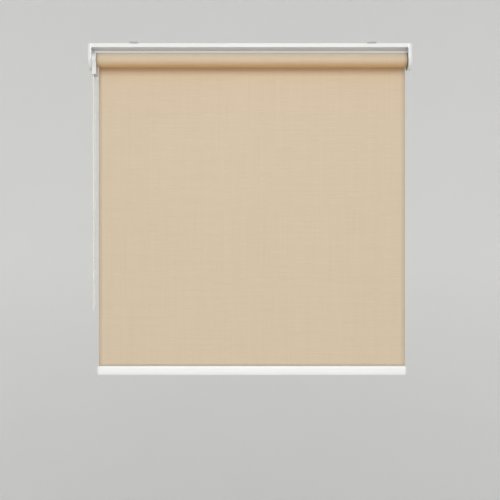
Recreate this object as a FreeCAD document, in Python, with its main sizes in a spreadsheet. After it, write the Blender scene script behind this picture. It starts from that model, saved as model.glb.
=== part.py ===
import FreeCAD, Part
import math
import os
import re
import Sketcher

# Roller blind for a window recess, in millimetres.
# X runs along the roll to the viewer's right, Y goes away from the viewer, Z is up.
# The origin is midway between the two ceiling screws, on the ceiling plane.

Vector = FreeCAD.Vector
doc = FreeCAD.newDocument("RollerBlind")

# ---------------------------------------------------------------- driving dimensions
SIZES = {
    # overall layout
    "left_end": -407.5,
    "right_end": 392.5,
    "axis_drop": 42.0,
    # head rail, a C section that opens upward
    "rail_drop": 5.3,
    "rail_height": 9.6,
    "rail_front": 26.0,
    "rail_back": 18.0,
    "rail_wall": 1.5,
    "rail_lip_reach": 10.0,
    "rail_lip_wall": 1.2,
    "rail_edge_round": 0.7,
    # ceiling clips
    "clip_spacing": 588.0,
    "clip_width": 20.0,
    "clip_steel": 1.2,
    "clip_front": 22.0,
    "clip_back": 14.0,
    "clip_hole_radius": 2.3,
    "clip_hook_start": 5.6,
    "clip_hook_end": 12.5,
    "clip_stop_start": 3.0,
    "latch_gap": 0.3,
    "latch_wall": 1.8,
    "latch_rear": 9.0,
    "latch_nose_front": 18.8,
    "latch_post_front": 14.4,
    "latch_post_rear": 11.4,
    "latch_nose_wall": 1.6,
    "latch_tab_front": 28.2,
    "latch_tab_wall": 1.6,
    "latch_tab_top": 0.4,
    "latch_tab_bottom": 5.0,
    "clip_spring_offset": 5.7,
    "clip_spring_radius": 0.8,
    "clip_spring_wire": 0.15,
    "clip_spring_pitch": 1.2,
    # end brackets: a steel plate with a tongue in the rail, and a moulded cover
    "bracket_radius": 26.0,
    "plate_wall": 1.3,
    "plate_inset": 0.6,
    "cover_left_depth": 7.0,
    "cover_right_depth": 7.7,
    "cover_wall": 1.5,
    "cover_round": 1.2,
    "tongue_length": 27.0,
    "tongue_front": 20.0,
    "tongue_back": 12.0,
    "tongue_gap": 0.2,
    "tongue_screw_inset": 14.0,
    "tongue_screw_y": -4.0,
    "boss_radius": 4.0,
    "boss_height": 2.5,
    "grub_radius": 2.0,
    "grub_length": 5.5,
    "grub_socket_radius": 1.0,
    "grub_socket_depth": 2.0,
    # bead chain and its wheel
    "chain_x": -395.9,
    "bead_radius": 2.25,
    "bead_pitch": 6.0,
    "string_radius": 0.9,
    "wheel_pockets": 13,
    "chain_beads": 216,
    "loop_radius": 8.0,
    "wheel_width": 6.0,
    "wheel_rim_radius": 12.2,
    "pocket_clearance": 0.2,
    "string_groove_half": 1.2,
    "hub_radius": 10.8,
    "hub_end": -380.0,
    "hub_key_radius": 12.6,
    "hub_key_half": 2.0,
    "hub_key_start": -386.0,
    # chain guard
    "guard_radius": 19.0,
    "guard_wall": 1.4,
    "guard_right": -388.9,
    "guard_chute_half": 16.2,
    "guard_chute_wall": 1.1,
    "guard_chute_drop": 38.0,
    "guard_side_wall": 0.8,
    "guard_hole_radius": 11.5,
    # drive unit inside the left end of the tube
    "spindle_radius": 6.0,
    "spindle_end": -346.5,
    "spindle_tail_half": 4.0,
    "spindle_tail_length": 3.3,
    "tail_clearance": 0.1,
    "running_gap": 0.08,
    "screw_radius": 1.25,
    "screw_length": 13.0,
    "screw_head_radius": 3.0,
    "screw_head_height": 2.4,
    "core_radius": 14.6,
    "core_end": -347.0,
    "core_hub_bore_end": -379.0,
    "core_bearing_length": 5.0,
    "core_spring_bore": 8.6,
    "wrap_spring_start": -377.5,
    "wrap_spring_step": 6.5,
    "wrap_spring_length": 4.6,
    "wrap_spring_radius": 6.65,
    "wrap_spring_wire": 0.5,
    "wrap_spring_pitch": 1.15,
    # roller tube and the fabric wound on it
    "roll_left": -387.9,
    "roll_right": 382.5,
    "tube_radius": 16.0,
    "tube_wall": 1.2,
    "tube_key_half": 2.8,
    "tube_key_inner": 12.2,
    "tube_groove_half": 1.65,
    "tube_groove_floor": 13.5,
    "key_slot_half": 3.1,
    "key_slot_floor": 12.0,
    "spline_half": 1.45,
    "spline_gap": 0.1,
    "roll_gap": 0.05,
    "roll_radius": 17.6,
    # idle end
    "plug_left": 330.0,
    "plug_right": 382.1,
    "pin_radius": 4.0,
    "pin_inner_end": 360.0,
    "pin_outer_end": 390.5,
    "pin_collar_radius": 5.2,
    "pin_collar_length": 2.0,
    "pin_tip_chamfer": 0.8,
    "chamber_radius": 5.4,
    "chamber_end": 362.3,
    "seat_length": 4.0,
    "idle_spring_radius": 4.4,
    "idle_spring_wire": 0.5,
    "idle_spring_pitch": 3.2,
    "bush_outer_radius": 6.0,
    "bush_flange_radius": 8.0,
    "bush_flange_wall": 1.2,
    "bush_end": 388.5,
    # hanging fabric and its bottom bar
    "sheet_y": 18.1,
    "sheet_thickness": 0.4,
    "sheet_drop": 764.3,
    "bar_drop": 764.8,
    "bar_half_height": 11.8,
    "bar_half_depth": 6.0,
    "bar_face_radius": 19.0,
    "bar_wall": 1.3,
    "bar_left": -388.2,
    "bar_right": 382.1,
    "bar_slot_half": 0.8,
    "cap_wall": 3.3,
    "cap_plug_length": 9.0,
    "cap_plug_gap": 0.2,
    "hem_rod_radius": 2.1,
    "hem_rod_gap": 0.15,
}

sheet = doc.addObject("Spreadsheet::Sheet", "Sizes")
for row, (alias, number) in enumerate(SIZES.items(), start=1):
    sheet.set("A%d" % row, alias.replace("_", " "))
    sheet.set("B%d" % row, str(number))
    sheet.setAlias("B%d" % row, alias)
doc.recompute()


# ---------------------------------------------------------------- helpers
def bind(text):
    """An expression on the sheet's cells, from one that uses their plain names."""
    def with_sheet(word):
        name = word.group()
        return "Sizes." + name if name in SIZES else name

    return re.sub(r"[a-z_]+", with_sheet, text)


def value(text):
    """The number that such an expression gives now."""
    return float(sheet.evalExpression(bind(text)))


PLATE_LEFT = "(left_end + cover_left_depth)"
INSIDE_LEFT = "(left_end + cover_left_depth + plate_wall)"
INSIDE_RIGHT = "(right_end - cover_right_depth - plate_wall)"
PLATE_RIGHT = "(right_end - cover_right_depth)"
RAIL_TOP = "(-rail_drop)"
RAIL_BOTTOM = "(-rail_drop - rail_height)"
LIP_UNDER = "(-rail_drop - rail_lip_wall)"
AXIS = "(-axis_drop)"
PITCH_RADIUS = "(bead_pitch / 2 / sin(180deg / wheel_pockets))"
POCKET_RADIUS = "(bead_radius + pocket_clearance)"
BAR_CENTRE = "(-axis_drop - bar_drop - bar_half_height)"


def new_body(label, on_axis=False, at=None):
    """A body, standing at the origin, on the roll's axis or at a given (y, z)."""
    body = doc.addObject("PartDesign::Body", label)
    body.Label = label
    if on_axis:
        at = ("0", AXIS)
    if at:
        body.setExpression("Placement.Base.y", bind(at[0]))
        body.setExpression("Placement.Base.z", bind(at[1]))
    return body


def section(body, name, start):
    """A sketch across the X axis, at X = start, whose axes are the body's Y and Z."""
    sketch = body.newObject("Sketcher::SketchObject", name)
    plane = next(f for f in body.Origin.OriginFeatures if f.Role == "YZ_Plane")
    sketch.AttachmentSupport = [(plane, "")]
    sketch.MapMode = "FlatFace"
    sketch.setExpression("AttachmentOffset.Base.z", bind(start))
    return sketch


def dimension(sketch, kind, name, expression, *geometry):
    """One named constraint, bound to the sheet."""
    index = sketch.addConstraint(Sketcher.Constraint(kind, *geometry, value(expression)))
    sketch.renameConstraint(index, name)
    sketch.setExpression("Constraints." + name, bind(expression))


def rectangle(sketch, tag, left, right, low, high):
    """A closed rectangle with each side placed from the sketch's origin."""
    sides = [value(e) for e in (left, right, low, high)]
    corners = [Vector(sides[0], sides[2]), Vector(sides[1], sides[2])]
    corners += [Vector(sides[1], sides[3]), Vector(sides[0], sides[3])]
    first = sketch.GeometryCount
    for i in range(4):
        sketch.addGeometry(Part.LineSegment(corners[i], corners[(i + 1) % 4]), False)
    for i in range(4):
        sketch.addConstraint(Sketcher.Constraint("Coincident", first + i, 2, first + (i + 1) % 4, 1))
    for i, direction in enumerate(("Horizontal", "Vertical", "Horizontal", "Vertical")):
        sketch.addConstraint(Sketcher.Constraint(direction, first + i))
    dimension(sketch, "DistanceX", tag + "_left", left, -1, 1, first, 1)
    dimension(sketch, "DistanceX", tag + "_right", right, -1, 1, first + 2, 1)
    dimension(sketch, "DistanceY", tag + "_low", low, -1, 1, first, 1)
    dimension(sketch, "DistanceY", tag + "_high", high, -1, 1, first + 2, 1)


def circle(sketch, tag, radius, z=None):
    """A circle about the sketch's origin, or at a height above it."""
    centre = Vector(0, value(z) if z else 0, 0)
    index = sketch.addGeometry(Part.Circle(centre, Vector(0, 0, 1), value(radius)), False)
    if z:
        sketch.addConstraint(Sketcher.Constraint("PointOnObject", index, 3, -2))
        dimension(sketch, "DistanceY", tag + "_z", z, -1, 1, index, 3)
    else:
        sketch.addConstraint(Sketcher.Constraint("Coincident", index, 3, -1, 1))
    dimension(sketch, "Radius", tag + "_radius", radius, index)


def oval(sketch, tag, inset):
    """The bottom bar's outline: two long curved faces and two small rounded edges."""
    height = "(bar_half_height - %s)" % inset
    depth = "(bar_half_depth - %s)" % inset
    face = "(bar_face_radius - %s)" % inset
    edge = "((%s^2 + %s^2 - 2 * %s * %s) / (2 * (%s - %s)))" % (depth, height, face, depth, height, face)
    big, small = value(face), value(edge)
    offset, rise = big - value(depth), value(height) - small
    turn = math.atan2(rise, offset)
    arcs = [
        (Vector(-offset, 0), big, -turn, turn),
        (Vector(0, rise), small, turn, math.pi - turn),
        (Vector(offset, 0), big, math.pi - turn, math.pi + turn),
        (Vector(0, -rise), small, math.pi + turn, 2 * math.pi - turn),
    ]
    first = sketch.GeometryCount
    for centre, radius, start, end in arcs:
        whole = Part.Circle(centre, Vector(0, 0, 1), radius)
        sketch.addGeometry(Part.ArcOfCircle(whole, start, end), False)
    for i in range(4):
        sketch.addConstraint(Sketcher.Constraint("Tangent", first + i, 2, first + (i + 1) % 4, 1))
    for i, sign in ((0, "-"), (2, "")):
        sketch.addConstraint(Sketcher.Constraint("PointOnObject", first + i, 3, -1))
        side = "%s(%s - %s)" % (sign, face, depth)
        dimension(sketch, "DistanceX", "%s_side_%d" % (tag, i), side, -1, 1, first + i, 3)
        dimension(sketch, "Radius", "%s_face_%d" % (tag, i), face, first + i)
    for i, sign in ((1, ""), (3, "-")):
        middle = "%s(%s - %s)" % (sign, height, edge)
        dimension(sketch, "DistanceY", "%s_edge_%d" % (tag, i), middle, -1, 1, first + i, 3)


def pad(body, sketch, length):
    feature = body.newObject("PartDesign::Pad", "Pad")
    feature.Profile = sketch
    feature.setExpression("Length", bind(length))
    return feature


def pocket(body, sketch, length):
    """Cuts from the sketch's plane toward +X."""
    feature = body.newObject("PartDesign::Pocket", "Pocket")
    feature.Profile = sketch
    feature.Reversed = True
    feature.setExpression("Length", bind(length))
    return feature


def add_disc(body, name, radius, start, end, hole=None):
    sketch = section(body, name, start)
    circle(sketch, "outer", radius)
    if hole:
        circle(sketch, "inner", hole)
    return pad(body, sketch, "(%s) - (%s)" % (end, start))


def cut_disc(body, name, radius, start, end):
    sketch = section(body, name, start)
    circle(sketch, "cut", radius)
    return pocket(body, sketch, "(%s) - (%s)" % (end, start))


def add_block(body, name, sides, start, end):
    sketch = section(body, name, start)
    rectangle(sketch, "block", *sides)
    return pad(body, sketch, "(%s) - (%s)" % (end, start))


def cut_block(body, name, sides, start, end):
    sketch = section(body, name, start)
    rectangle(sketch, "cut", *sides)
    return pocket(body, sketch, "(%s) - (%s)" % (end, start))


def edge_names(shape, wanted):
    """Names of the edges that a test on the edge accepts."""
    return ["Edge%d" % i for i, edge in enumerate(shape.Edges, start=1) if wanted(edge)]


def fillet(body, base, wanted, radius):
    doc.recompute()
    feature = body.newObject("PartDesign::Fillet", "Fillet")
    feature.Base = (base, edge_names(base.Shape, wanted))
    feature.setExpression("Radius", bind(radius))
    return feature


def box(name, x, y, z):
    """A Part box from three (low, high) pairs of expressions."""
    block = doc.addObject("Part::Box", name)
    for side, axis, (low, high) in zip(("Length", "Width", "Height"), "xyz", (x, y, z)):
        block.setExpression(side, bind("(%s) - (%s)" % (high, low)))
        block.setExpression("Placement.Base." + axis, bind(low))
    return block


def rod(name, radius, start, height, direction="z"):
    """A Part cylinder from a point (x, y, z of expressions), along +Z or +X."""
    bar = doc.addObject("Part::Cylinder", name)
    if direction == "x":
        bar.Placement = FreeCAD.Placement(Vector(), FreeCAD.Rotation(Vector(0, 1, 0), 90))
    bar.setExpression("Radius", bind(radius))
    bar.setExpression("Height", bind(height))
    for axis, place in zip("xyz", start):
        bar.setExpression("Placement.Base." + axis, bind(place))
    return bar


def fuse(label, pieces):
    joined = doc.addObject("Part::MultiFuse", label)
    joined.Shapes = pieces
    joined.Refine = True
    joined.Label = label
    return joined


def cut(label, base, tool):
    result = doc.addObject("Part::Cut", label)
    result.Base = base
    result.Tool = tool
    result.Label = label
    return result


def coil(radius, wire, pitch, length):
    """A round-wire coil along +Z from the origin: half turns of a torus, tilted so that their ends meet."""
    count = round(2 * length / pitch)
    rise = length / count
    bend = math.hypot(2 * radius, rise) / 2
    tilt = math.degrees(math.atan2(rise, 2 * radius))
    halves = []
    for i in range(count):
        half = Part.makeTorus(bend, wire, Vector(), Vector(0, 0, 1), 0, 360, 180)
        side = FreeCAD.Rotation(Vector(0, 0, 1), 180 * (i % 2))
        lean = FreeCAD.Rotation(Vector(0, 1, 0), -tilt if i % 2 else tilt)
        half.Placement = FreeCAD.Placement(Vector(0, 0, (i + 0.5) * rise), lean * side)
        halves.append(half)
    solids = halves[0].multiFuse(halves[1:]).Solids
    if len(solids) != 1:
        raise RuntimeError("a coil's half turns did not join")
    return solids[0]


def turned(shape, axis, angle, place):
    """A copy of a shape, turned about the origin and moved."""
    copy = shape.copy()
    copy.Placement = FreeCAD.Placement(Vector(*place), FreeCAD.Rotation(axis, angle))
    return copy


def feature_of(label, shape):
    feature = doc.addObject("Part::Feature", label)
    feature.Shape = shape
    feature.Placement = shape.Placement
    feature.Label = label
    return feature


Y_AXIS = Vector(0, 1, 0)
X_AXIS = Vector(1, 0, 0)
parts = []


# ---------------------------------------------------------------- head rail
def head_rail():
    body = new_body("head_rail")
    outer = ("-rail_front", "rail_back", RAIL_BOTTOM, RAIL_TOP)
    add_block(body, "Outline", outer, INSIDE_LEFT, INSIDE_RIGHT)
    inner = ("-rail_front + rail_wall", "rail_back - rail_wall", RAIL_BOTTOM + " + rail_wall", LIP_UNDER)
    cut_block(body, "Channel", inner, INSIDE_LEFT, INSIDE_RIGHT)
    slot_sides = ("-rail_front + rail_lip_reach", "rail_back - rail_lip_reach")
    slot = (*slot_sides, LIP_UNDER + " - 1", RAIL_TOP + " + 1")
    opened = cut_block(body, "Slot", slot, INSIDE_LEFT, INSIDE_RIGHT)
    faces = (-value("rail_front"), value("rail_back"))
    corners = [(y, z) for y in faces for z in (value(RAIL_TOP), value(RAIL_BOTTOM))]

    def outer_edge(edge):
        middle = edge.CenterOfMass
        return edge.Length > 100 and any(math.hypot(middle.y - y, middle.z - z) < 0.01 for y, z in corners)

    fillet(body, opened, outer_edge, "rail_edge_round")
    parts.append(body)


# ---------------------------------------------------------------- ceiling clips
def ceiling_clip(side, centre):
    """A folded steel clip: top plate, two side walls, a fixed rear hook and two spring stops."""
    half = "clip_width / 2"
    low, high = "%s - %s" % (centre, half), "%s + %s" % (centre, half)
    depth = ("-clip_front", "clip_back")
    wall_height = (RAIL_TOP, "-clip_steel")
    pieces = [
        box(side + "ClipTop", (low, high), depth, ("-clip_steel", "0")),
        box(side + "ClipWallA", (low, low + " + clip_steel"), depth, wall_height),
        box(side + "ClipWallB", (high + " - clip_steel", high), depth, wall_height),
    ]
    inner = (low + " + clip_steel", high + " - clip_steel")
    hook_bottom = LIP_UNDER + " - clip_steel"
    hook = ("clip_hook_start", "clip_hook_start + clip_steel")
    pieces.append(box(side + "ClipHook", inner, hook, (hook_bottom, "-clip_steel")))
    tongue = ("clip_hook_start", "clip_hook_end")
    pieces.append(box(side + "ClipTongue", inner, tongue, (hook_bottom, LIP_UNDER)))
    for tag, sign in (("A", "-"), ("B", "+")):
        middle = "%s %s clip_spring_offset" % (centre, sign)
        width = (middle + " - 1.5 * clip_spring_radius", middle + " + 1.5 * clip_spring_radius")
        stop = ("clip_stop_start", "clip_stop_start + clip_steel")
        height = ("-clip_steel - latch_gap - latch_wall", "-clip_steel")
        pieces.append(box(side + "ClipStop" + tag, width, stop, height))
    joined = fuse(side + "ClipSolid", pieces)
    hole = rod(side + "ClipHole", "clip_hole_radius", (centre, "0", "-2 * clip_steel"), "3 * clip_steel")
    parts.append(cut(side + "_ceiling_clip", joined, hole))


def clip_latch(side, centre):
    """The latch that slides in the clip: a front push tab, a plate, and a nose under the rail's lip."""
    half = "clip_width / 2"
    inner = half + " - clip_steel - latch_gap"
    plate = ("%s - (%s)" % (centre, inner), "%s + (%s)" % (centre, inner))
    whole = ("%s - %s" % (centre, half), "%s + %s" % (centre, half))
    plate_top = "-clip_steel - latch_gap"
    plate_bottom = plate_top + " - latch_wall"
    nose_top = LIP_UNDER + " - latch_gap"
    nose_bottom = nose_top + " - latch_nose_wall"
    tab = ("-latch_tab_front", "-latch_tab_front + latch_tab_wall")
    post = ("-latch_post_front", "-latch_post_rear")
    nose = ("-latch_nose_front", "-latch_post_front")
    pieces = [
        box(side + "LatchPlate", plate, (tab[1], "-latch_rear"), (plate_bottom, plate_top)),
        box(side + "LatchTab", whole, tab, ("-latch_tab_bottom", "-latch_tab_top")),
        box(side + "LatchPost", plate, post, (nose_bottom, plate_bottom)),
        box(side + "LatchNose", plate, nose, (nose_bottom, nose_top)),
    ]
    parts.append(fuse(side + "_clip_latch", pieces))


def clip_springs(side, centre):
    """Two small coils between the latch's rear edge and the clip's stops."""
    length = value("clip_stop_start + latch_rear - 5 * clip_spring_wire")
    start = -value("latch_rear - 2.5 * clip_spring_wire")
    height = -value("clip_steel + latch_gap + latch_wall / 2")
    wire = coil(value("clip_spring_radius"), value("clip_spring_wire"), value("clip_spring_pitch"), length)
    middle, offset = value(centre), value("clip_spring_offset")
    coils = [turned(wire, X_AXIS, -90, (middle + sign * offset, start, height)) for sign in (-1, 1)]
    parts.append(feature_of(side + "_clip_springs", Part.makeCompound(coils)))


# ---------------------------------------------------------------- end brackets
def bracket(side, plate_x, tongue_x, screw_x, opening):
    """A steel plate with a round foot, its tongue in the rail, the screw boss and the axle's opening."""
    depth = ("-(bracket_radius - plate_inset)", "bracket_radius - plate_inset")
    tongue_bottom = RAIL_BOTTOM + " + rail_wall + tongue_gap"
    tongue_top = tongue_bottom + " + plate_wall"
    pieces = [
        box(side + "Plate", plate_x, depth, (AXIS, RAIL_TOP)),
        rod(side + "Foot", depth[1], (plate_x[0], "0", AXIS), "%s - %s" % (plate_x[1], plate_x[0]), "x"),
        box(side + "Tongue", tongue_x, ("-tongue_front", "tongue_back"), (tongue_bottom, tongue_top)),
        rod(side + "Boss", "boss_radius", (screw_x, "tongue_screw_y", tongue_top), "boss_height"),
    ]
    solid = fuse(side + "BracketSolid", pieces)
    thread = rod(side + "Thread", "grub_radius", (screw_x, "tongue_screw_y", RAIL_BOTTOM), "rail_height")
    tapped = cut(side + "BracketTapped", solid, thread)
    parts.append(cut(side + "_bracket", tapped, opening))


def bracket_cover(label, start, depth, cavity_start, outer_x):
    """A moulded cap over the plate, with rounded outer edges and open toward the plate."""
    body = new_body(label)
    end = "(%s + %s)" % (start, depth)
    top_block = ("-bracket_radius", "bracket_radius", AXIS, RAIL_TOP)
    add_block(body, "UpperOutline", top_block, start, end)
    foot = section(body, "FootOutline", start)
    circle(foot, "foot", "bracket_radius", AXIS)
    whole = pad(body, foot, depth)

    def outer_rim(edge):
        middle = edge.CenterOfMass
        return abs(middle.x - value(outer_x)) < 0.01 and edge.BoundBox.XLength < 0.01

    fillet(body, whole, outer_rim, "cover_round")
    inner = "(bracket_radius - cover_wall)"
    sides = ("-" + inner, inner, AXIS, RAIL_TOP + " - cover_wall")
    end_of_cavity = "(%s + %s - cover_wall)" % (cavity_start, depth)
    cut_block(body, "UpperCavity", sides, cavity_start, end_of_cavity)
    lower = section(body, "FootCavity", cavity_start)
    circle(lower, "foot", inner, AXIS)
    pocket(body, lower, "(%s) - (%s)" % (end_of_cavity, cavity_start))
    parts.append(body)


def bracket_screws():
    """Two identical grub screws that lock the tongues in the rail, each with a hex-key socket."""
    floor = RAIL_BOTTOM + " + rail_wall"
    blanks, sockets = [], []
    left, right = INSIDE_LEFT + " + tongue_screw_inset", INSIDE_RIGHT + " - tongue_screw_inset"
    for side, place in (("Left", left), ("Right", right)):
        blanks.append(rod(side + "Grub", "grub_radius", (place, "tongue_screw_y", floor), "grub_length"))
        key_end = (place, "tongue_screw_y", floor + " + grub_length - grub_socket_depth")
        sockets.append(rod(side + "Socket", "grub_socket_radius", key_end, "grub_socket_depth"))
    parts.append(cut("bracket_screws", fuse("GrubBlanks", blanks), fuse("GrubSockets", sockets)))


# ---------------------------------------------------------------- chain drive
def chain_guard():
    """A round housing over the chain wheel with a chute that the two chain runs leave by."""
    body = new_body("chain_guard", on_axis=True)
    right = "(guard_right)"
    add_disc(body, "Housing", "guard_radius", INSIDE_LEFT, right)
    chute = ("-guard_chute_half", "guard_chute_half", "-guard_chute_drop", "-1")
    whole = add_block(body, "Chute", chute, INSIDE_LEFT, right)

    def front_edge(edge):
        middle = edge.CenterOfMass
        at_end = abs(middle.x - value(right)) < 0.01 and edge.BoundBox.XLength < 0.01
        return at_end and abs(middle.z - value(AXIS) + value("guard_chute_drop")) > 0.01

    fillet(body, whole, front_edge, "cover_round / 2")
    wall = "(guard_right - guard_wall)"
    cut_disc(body, "WheelSpace", "guard_radius - guard_wall", INSIDE_LEFT, wall)
    inner = "(guard_chute_half - guard_chute_wall)"
    space = ("-" + inner, inner, "-guard_chute_drop - 1", "-1")
    cut_block(body, "ChainSpace", space, "(%s + guard_side_wall)" % INSIDE_LEFT, wall)
    cut_disc(body, "HubHole", "guard_hole_radius", wall, right)
    parts.append(body)


def drive_spindle():
    """The fixed spindle: a round shaft on a square tail that sits in the plate, drilled for its screw."""
    body = new_body("drive_spindle", on_axis=True)
    add_disc(body, "Shaft", "spindle_radius", INSIDE_LEFT, "spindle_end")
    tail = ("-spindle_tail_half", "spindle_tail_half", "-spindle_tail_half", "spindle_tail_half")
    tail_start = "(%s - spindle_tail_length)" % INSIDE_LEFT
    add_block(body, "Tail", tail, tail_start, INSIDE_LEFT)
    cut_disc(body, "ScrewHole", "screw_radius", tail_start, "(%s + screw_length + 1)" % tail_start)
    parts.append(body)


def spindle_screw():
    body = new_body("spindle_screw", on_axis=True)
    under_head = "(%s - spindle_tail_length)" % INSIDE_LEFT
    add_disc(body, "Shank", "screw_radius", under_head, "(%s + screw_length)" % under_head)
    head = add_disc(body, "Head", "screw_head_radius", "(%s - screw_head_height)" % under_head, under_head)

    def head_rim(edge):
        return abs(edge.CenterOfMass.x - value(under_head + " - screw_head_height")) < 0.01

    fillet(body, head, head_rim, "screw_head_height / 3")
    slot = ("-screw_head_radius", "screw_head_radius", "-screw_radius / 3", "screw_radius / 3")
    top = "(%s - screw_head_height)" % under_head
    cut_block(body, "DriverSlot", slot, top, "(%s + screw_head_height / 3)" % top)
    parts.append(body)


def sprocket():
    """The chain wheel: a rim with ball pockets and a string groove, and a hub with two drive keys."""
    body = new_body("sprocket", on_axis=True)
    left, right = "(chain_x - wheel_width / 2)", "(chain_x + wheel_width / 2)"
    bore = "spindle_radius + running_gap"
    rim_sketch = section(body, "Rim", left)
    circle(rim_sketch, "outer", "wheel_rim_radius")
    circle(rim_sketch, "inner", bore)
    pad(body, rim_sketch, "wheel_width")
    add_disc(body, "Hub", "hub_radius", right, "hub_end", hole=bore)
    key = section(body, "Keys", "hub_key_start")
    rectangle(key, "front", "-hub_key_radius", "-hub_radius + 1", "-hub_key_half", "hub_key_half")
    rectangle(key, "rear", "hub_radius - 1", "hub_key_radius", "-hub_key_half", "hub_key_half")
    pad(body, key, "hub_end - hub_key_start")
    groove = section(body, "StringGroove", "(chain_x - string_groove_half)")
    circle(groove, "outer", "wheel_rim_radius + 1")
    circle(groove, "inner", PITCH_RADIUS + " - string_groove_half")
    grooved = pocket(body, groove, "2 * string_groove_half")
    doc.recompute()
    ball = body.newObject("PartDesign::SubtractiveSphere", "Pocket")
    ball.setExpression("Radius", bind(POCKET_RADIUS))
    plane = next(f for f in body.Origin.OriginFeatures if f.Role == "YZ_Plane")
    ball.AttachmentSupport = [(plane, "")]
    ball.MapMode = "FlatFace"
    ball.setExpression("AttachmentOffset.Base.y", bind(PITCH_RADIUS))
    ball.setExpression("AttachmentOffset.Base.z", bind("chain_x"))
    doc.recompute()
    ring = body.newObject("PartDesign::PolarPattern", "Pockets")
    ring.Originals = [ball]
    ring.Axis = (rim_sketch, ["N_Axis"])
    ring.Angle = 360
    ring.setExpression("Occurrences", bind("wheel_pockets"))
    body.Tip = ring
    doc.recompute()
    if ring.Shape.Volume > grooved.Shape.Volume - 13:
        raise RuntimeError("the chain wheel's pockets were not cut")
    parts.append(body)


def drive_core():
    """The moulded core that the wheel's keys turn: it grips the tube by a slot on the tube's inner key."""
    body = new_body("drive_core", on_axis=True)
    add_disc(body, "Barrel", "core_radius", "roll_left", "core_end")
    cut_disc(body, "HubBore", "hub_radius + 0.4", "roll_left", "core_hub_bore_end")
    bearing = "(core_end - core_bearing_length)"
    cut_disc(body, "SpringBore", "core_spring_bore", "core_hub_bore_end", bearing)
    cut_disc(body, "BearingBore", "spindle_radius + running_gap", bearing, "core_end")
    reach = "(hub_key_radius + pocket_clearance)"
    ways = ("-" + reach, reach, "-hub_key_half - pocket_clearance", "hub_key_half + pocket_clearance")
    cut_block(body, "Keyways", ways, "roll_left", "(hub_end + pocket_clearance)")
    slot = ("-key_slot_half", "key_slot_half", "key_slot_floor", "tube_radius")
    cut_block(body, "TubeKeySlot", slot, "roll_left", "core_end")
    parts.append(body)


def wrap_springs():
    """Three wrap springs on the spindle: they grip it until the chain is pulled."""
    one = coil(*(value("wrap_spring_" + word) for word in ("radius", "wire", "pitch", "length")))
    starts = [value("wrap_spring_start + %d * wrap_spring_step" % i) for i in range(3)]
    coils = [turned(one, Y_AXIS, 90, (x, 0, value(AXIS))) for x in starts]
    parts.append(feature_of("wrap_springs", Part.makeCompound(coils)))


# ---------------------------------------------------------------- roller
def roller_tube():
    """An aluminium tube with a groove outside and the matching key inside."""
    body = new_body("roller_tube", on_axis=True)
    add_disc(body, "Wall", "tube_radius", "roll_left", "roll_right", hole="tube_radius - tube_wall")
    key = ("-tube_key_half", "tube_key_half", "tube_key_inner", "tube_radius - tube_wall / 2")
    add_block(body, "InnerKey", key, "roll_left", "roll_right")
    groove = ("-tube_groove_half", "tube_groove_half", "tube_groove_floor", "tube_radius + 1")
    cut_block(body, "Groove", groove, "roll_left", "roll_right")
    parts.append(body)


def fabric_spline():
    """The plastic strip that locks the fabric's top edge in the tube's groove."""
    body = new_body("fabric_spline", on_axis=True)
    strip = ("-spline_half", "spline_half", "tube_groove_floor + spline_gap", "tube_radius - spline_gap")
    add_block(body, "Strip", strip, "roll_left", "roll_right")
    parts.append(body)


def fabric_roll():
    """The turns of fabric wound on the tube, as one plain ring."""
    body = new_body("fabric_roll", on_axis=True)
    add_disc(body, "Turns", "roll_radius", "roll_left", "roll_right", hole="tube_radius + roll_gap")
    parts.append(body)


# ---------------------------------------------------------------- idle end
def idle_plug():
    """The plug in the tube's right end, bored for the sprung pin."""
    body = new_body("idle_plug", on_axis=True)
    add_disc(body, "Barrel", "core_radius", "plug_left", "plug_right")
    cut_disc(body, "Chamber", "chamber_radius", "plug_left", "chamber_end")
    cut_disc(body, "PinBore", "pin_radius + running_gap", "chamber_end", "plug_right")
    slot = ("-key_slot_half", "key_slot_half", "key_slot_floor", "tube_radius")
    cut_block(body, "TubeKeySlot", slot, "plug_left", "plug_right")
    parts.append(body)


def idle_pin():
    """The pin that carries the roll's right end: a collar keeps it in the plug."""
    body = new_body("idle_pin", on_axis=True)
    add_disc(body, "Collar", "pin_collar_radius", "pin_inner_end", "(pin_inner_end + pin_collar_length)")
    shaft = add_disc(body, "Shaft", "pin_radius", "(pin_inner_end + pin_collar_length)", "pin_outer_end")

    def tip(edge):
        return abs(edge.CenterOfMass.x - value("pin_outer_end")) < 0.01

    doc.recompute()
    chamfer = body.newObject("PartDesign::Chamfer", "Tip")
    chamfer.Base = (shaft, edge_names(shaft.Shape, tip))
    chamfer.setExpression("Size", bind("pin_tip_chamfer"))
    parts.append(body)


def idle_spring():
    start = value("plug_left + seat_length + idle_spring_wire")
    length = value("pin_inner_end - idle_spring_wire") - start
    wire = coil(value("idle_spring_radius"), value("idle_spring_wire"), value("idle_spring_pitch"), length)
    parts.append(feature_of("idle_spring", turned(wire, Y_AXIS, 90, (start, 0, value(AXIS)))))


def spring_seat():
    """The disc pressed into the plug's inner end, which the spring pushes against."""
    body = new_body("spring_seat", on_axis=True)
    add_disc(body, "Disc", "chamber_radius", "plug_left", "(plug_left + seat_length)")
    parts.append(body)


def idle_bush():
    """The nylon bush in the right plate that the pin turns in."""
    body = new_body("idle_bush", on_axis=True)
    bore = "pin_radius + running_gap"
    add_disc(body, "Sleeve", "bush_outer_radius", INSIDE_RIGHT, "bush_end", hole=bore)
    flange_end = "(%s + bush_flange_wall)" % PLATE_RIGHT
    add_disc(body, "Flange", "bush_flange_radius", PLATE_RIGHT, flange_end, hole=bore)
    parts.append(body)


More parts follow.
